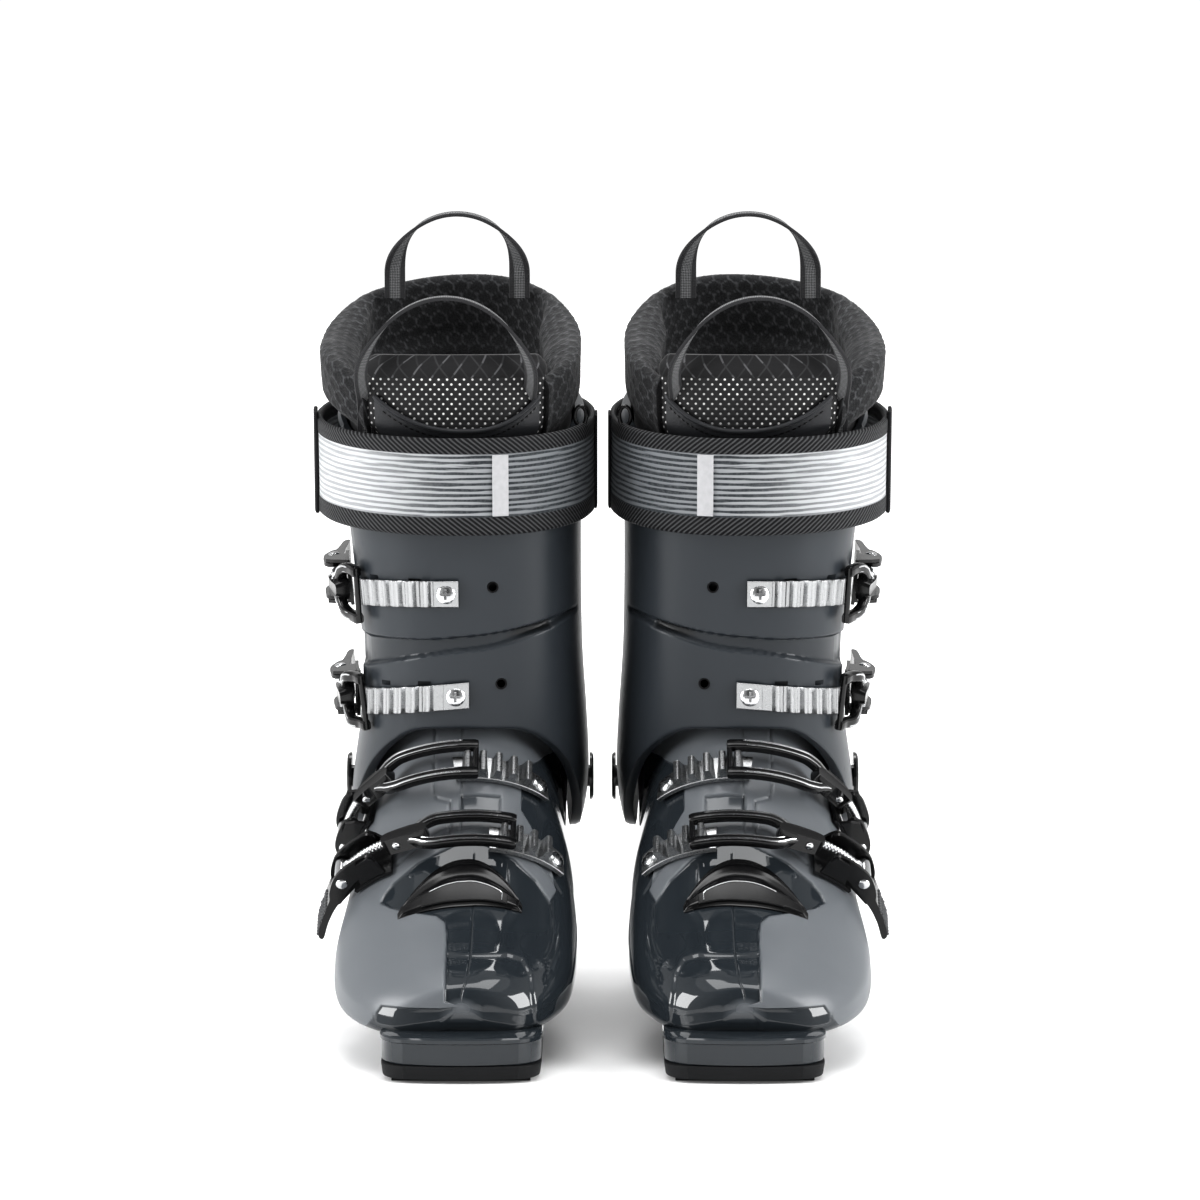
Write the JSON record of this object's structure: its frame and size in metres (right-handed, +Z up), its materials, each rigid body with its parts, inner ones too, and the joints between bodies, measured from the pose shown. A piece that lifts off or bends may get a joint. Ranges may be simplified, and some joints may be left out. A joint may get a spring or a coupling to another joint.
{
  "type": "alpine ski boots",
  "caption": "Pair of rigid alpine ski boots with a hinged cuff, overlap shell, lever buckles with toothed catch plates, a quilted removable liner and a power strap.",
  "frame": {"origin": "on the floor, midway between the boots and midway along the soles", "axes": "+Z up, toes towards -Y, right boot at -X and left boot at +X"},
  "size_m": [0.2602, 0.305, 0.3684],
  "materials": {
    "shell_plastic": "glossy dark blue-grey moulded shell plastic",
    "cuff_plastic": "satin dark blue-grey moulded cuff plastic",
    "sole_plastic": "hard-wearing textured black sole plastic",
    "board_foam": "plain grey moulded foot board",
    "black_plastic": "gloss black trim",
    "buckle_metal": "satin black coated buckle",
    "bright_metal": "brushed bright metal catch plate",
    "pivot_metal": "black pivot rivet",
    "liner_felt": "quilted charcoal felt",
    "tongue_leather": "smooth black synthetic leather and mesh",
    "webbing": "grey woven webbing",
    "strap_fabric": "woven strap with black twill borders"
  },
  "bodies": {
    "right_lower": {"right_shell": "shell_plastic", "right_toe_sole": "sole_plastic", "right_heel_sole": "sole_plastic", "right_boot_board": "board_foam", "right_toe_badge": "black_plastic", "right_liner_foot": "liner_felt", "right_cuff_pivot_outer": "pivot_metal", "right_cuff_pivot_inner": "pivot_metal", "right_toe_base": "buckle_metal", "right_toe_ladder": "bright_metal", "right_instep_base": "buckle_metal", "right_instep_ladder": "bright_metal"},
    "right_upper": {"right_cuff": "cuff_plastic", "right_liner_shaft": "liner_felt", "right_liner_tongue": "tongue_leather", "right_rear_loop": "webbing", "right_tongue_loop": "webbing", "right_power_strap": "strap_fabric", "right_lower_cuff_base": "buckle_metal", "right_lower_cuff_ladder": "bright_metal", "right_upper_cuff_base": "buckle_metal", "right_upper_cuff_ladder": "bright_metal"},
    "right_toe_lever": {"right_toe_lever": "buckle_metal"},
    "right_toe_bail": {"right_toe_bail": "buckle_metal"},
    "right_instep_lever": {"right_instep_lever": "buckle_metal"},
    "right_instep_bail": {"right_instep_bail": "buckle_metal"},
    "right_lower_cuff_lever": {"right_lower_cuff_lever": "buckle_metal"},
    "right_lower_cuff_bail": {"right_lower_cuff_bail": "buckle_metal"},
    "right_upper_cuff_lever": {"right_upper_cuff_lever": "buckle_metal"},
    "right_upper_cuff_bail": {"right_upper_cuff_bail": "buckle_metal"},
    "left_lower": {"left_shell": "shell_plastic", "left_toe_sole": "sole_plastic", "left_heel_sole": "sole_plastic", "left_boot_board": "board_foam", "left_toe_badge": "black_plastic", "left_liner_foot": "liner_felt", "left_cuff_pivot_outer": "pivot_metal", "left_cuff_pivot_inner": "pivot_metal", "left_toe_base": "buckle_metal", "left_toe_ladder": "bright_metal", "left_instep_base": "buckle_metal", "left_instep_ladder": "bright_metal"},
    "left_upper": {"left_cuff": "cuff_plastic", "left_liner_shaft": "liner_felt", "left_liner_tongue": "tongue_leather", "left_rear_loop": "webbing", "left_tongue_loop": "webbing", "left_power_strap": "strap_fabric", "left_lower_cuff_base": "buckle_metal", "left_lower_cuff_ladder": "bright_metal", "left_upper_cuff_base": "buckle_metal", "left_upper_cuff_ladder": "bright_metal"},
    "left_toe_lever": {"left_toe_lever": "buckle_metal"},
    "left_toe_bail": {"left_toe_bail": "buckle_metal"},
    "left_instep_lever": {"left_instep_lever": "buckle_metal"},
    "left_instep_bail": {"left_instep_bail": "buckle_metal"},
    "left_lower_cuff_lever": {"left_lower_cuff_lever": "buckle_metal"},
    "left_lower_cuff_bail": {"left_lower_cuff_bail": "buckle_metal"},
    "left_upper_cuff_lever": {"left_upper_cuff_lever": "buckle_metal"},
    "left_upper_cuff_bail": {"left_upper_cuff_bail": "buckle_metal"}
  },
  "joints": [
    {"name": "left_boot_apart", "type": "slide", "parent": "right_lower", "child": "left_lower", "axis": [1, 0, 0], "range_m": [0, 0.15]},
    {"name": "right_cuff_flex", "type": "hinge", "parent": "right_lower", "child": "right_upper", "pos_m": [-0.0615, 0.058, 0.106], "axis": [1, 0, 0], "range_deg": [0, 5], "stiffness_Nm_per_rad": 100},
    {"name": "right_toe_lever_hinge", "type": "hinge", "parent": "right_lower", "child": "right_toe_lever", "pos_m": [-0.10577, -0.05577, 0.08683], "axis": [0, 0.848, 0.5299], "range_deg": [0, 100]},
    {"name": "right_toe_bail_hinge", "type": "hinge", "parent": "right_toe_lever", "child": "right_toe_bail", "pos_m": [-0.11671, -0.04966, 0.07705], "axis": [0, 0.848, 0.5299], "range_deg": [-126, 0]},
    {"name": "right_instep_lever_hinge", "type": "hinge", "parent": "right_lower", "child": "right_instep_lever", "pos_m": [-0.11404, -0.01414, 0.09862], "axis": [0, 0.766, 0.6428], "range_deg": [0, 100]},
    {"name": "right_instep_bail_hinge", "type": "hinge", "parent": "right_instep_lever", "child": "right_instep_bail", "pos_m": [-0.1173, -0.00499, 0.08771], "axis": [0, 0.766, 0.6428], "range_deg": [-126, 0]},
    {"name": "right_lower_cuff_lever_hinge", "type": "hinge", "parent": "right_upper", "child": "right_lower_cuff_lever", "pos_m": [-0.11938, 0.0213, 0.1505], "axis": [-0.1045, -0.1384, 0.9848], "range_deg": [0, 100]},
    {"name": "right_lower_cuff_bail_hinge", "type": "hinge", "parent": "right_lower_cuff_lever", "child": "right_lower_cuff_bail", "pos_m": [-0.12001, 0.03491, 0.15235], "axis": [-0.1045, -0.1384, 0.9848], "range_deg": [-126, 0]},
    {"name": "right_upper_cuff_lever_hinge", "type": "hinge", "parent": "right_upper", "child": "right_upper_cuff_lever", "pos_m": [-0.12262, 0.01664, 0.2023], "axis": [-0.0523, -0.139, 0.9889], "range_deg": [0, 100]},
    {"name": "right_upper_cuff_bail_hinge", "type": "hinge", "parent": "right_upper_cuff_lever", "child": "right_upper_cuff_bail", "pos_m": [-0.1229, 0.02992, 0.20416], "axis": [-0.0523, -0.139, 0.9889], "range_deg": [-126, 0]},
    {"name": "left_cuff_flex", "type": "hinge", "parent": "left_lower", "child": "left_upper", "pos_m": [0.0615, 0.058, 0.106], "axis": [1, 0, 0], "range_deg": [0, 5], "stiffness_Nm_per_rad": 100},
    {"name": "left_toe_lever_hinge", "type": "hinge", "parent": "left_lower", "child": "left_toe_lever", "pos_m": [0.10577, -0.05577, 0.08683], "axis": [0, -0.848, -0.5299], "range_deg": [0, 100]},
    {"name": "left_toe_bail_hinge", "type": "hinge", "parent": "left_toe_lever", "child": "left_toe_bail", "pos_m": [0.11671, -0.04966, 0.07705], "axis": [0, -0.848, -0.5299], "range_deg": [-126, 0]},
    {"name": "left_instep_lever_hinge", "type": "hinge", "parent": "left_lower", "child": "left_instep_lever", "pos_m": [0.11404, -0.01414, 0.09862], "axis": [0, -0.766, -0.6428], "range_deg": [0, 100]},
    {"name": "left_instep_bail_hinge", "type": "hinge", "parent": "left_instep_lever", "child": "left_instep_bail", "pos_m": [0.1173, -0.00499, 0.08771], "axis": [0, -0.766, -0.6428], "range_deg": [-126, 0]},
    {"name": "left_lower_cuff_lever_hinge", "type": "hinge", "parent": "left_upper", "child": "left_lower_cuff_lever", "pos_m": [0.11938, 0.0213, 0.1505], "axis": [-0.1045, 0.1384, -0.9848], "range_deg": [0, 100]},
    {"name": "left_lower_cuff_bail_hinge", "type": "hinge", "parent": "left_lower_cuff_lever", "child": "left_lower_cuff_bail", "pos_m": [0.12001, 0.03491, 0.15235], "axis": [-0.1045, 0.1384, -0.9848], "range_deg": [-126, 0]},
    {"name": "left_upper_cuff_lever_hinge", "type": "hinge", "parent": "left_upper", "child": "left_upper_cuff_lever", "pos_m": [0.12262, 0.01664, 0.2023], "axis": [-0.0523, 0.139, -0.9889], "range_deg": [0, 100]},
    {"name": "left_upper_cuff_bail_hinge", "type": "hinge", "parent": "left_upper_cuff_lever", "child": "left_upper_cuff_bail", "pos_m": [0.1229, 0.02992, 0.20416], "axis": [-0.0523, 0.139, -0.9889], "range_deg": [-126, 0]}
  ],
  "couplings": [
    {"joint": "right_toe_bail_hinge", "follows": "right_toe_lever_hinge", "ratio": -1.25},
    {"joint": "right_instep_bail_hinge", "follows": "right_instep_lever_hinge", "ratio": -1.25},
    {"joint": "right_lower_cuff_bail_hinge", "follows": "right_lower_cuff_lever_hinge", "ratio": -1.25},
    {"joint": "right_upper_cuff_bail_hinge", "follows": "right_upper_cuff_lever_hinge", "ratio": -1.25},
    {"joint": "left_toe_bail_hinge", "follows": "left_toe_lever_hinge", "ratio": -1.25},
    {"joint": "left_instep_bail_hinge", "follows": "left_instep_lever_hinge", "ratio": -1.25},
    {"joint": "left_lower_cuff_bail_hinge", "follows": "left_lower_cuff_lever_hinge", "ratio": -1.25},
    {"joint": "left_upper_cuff_bail_hinge", "follows": "left_upper_cuff_lever_hinge", "ratio": -1.25}
  ]
}
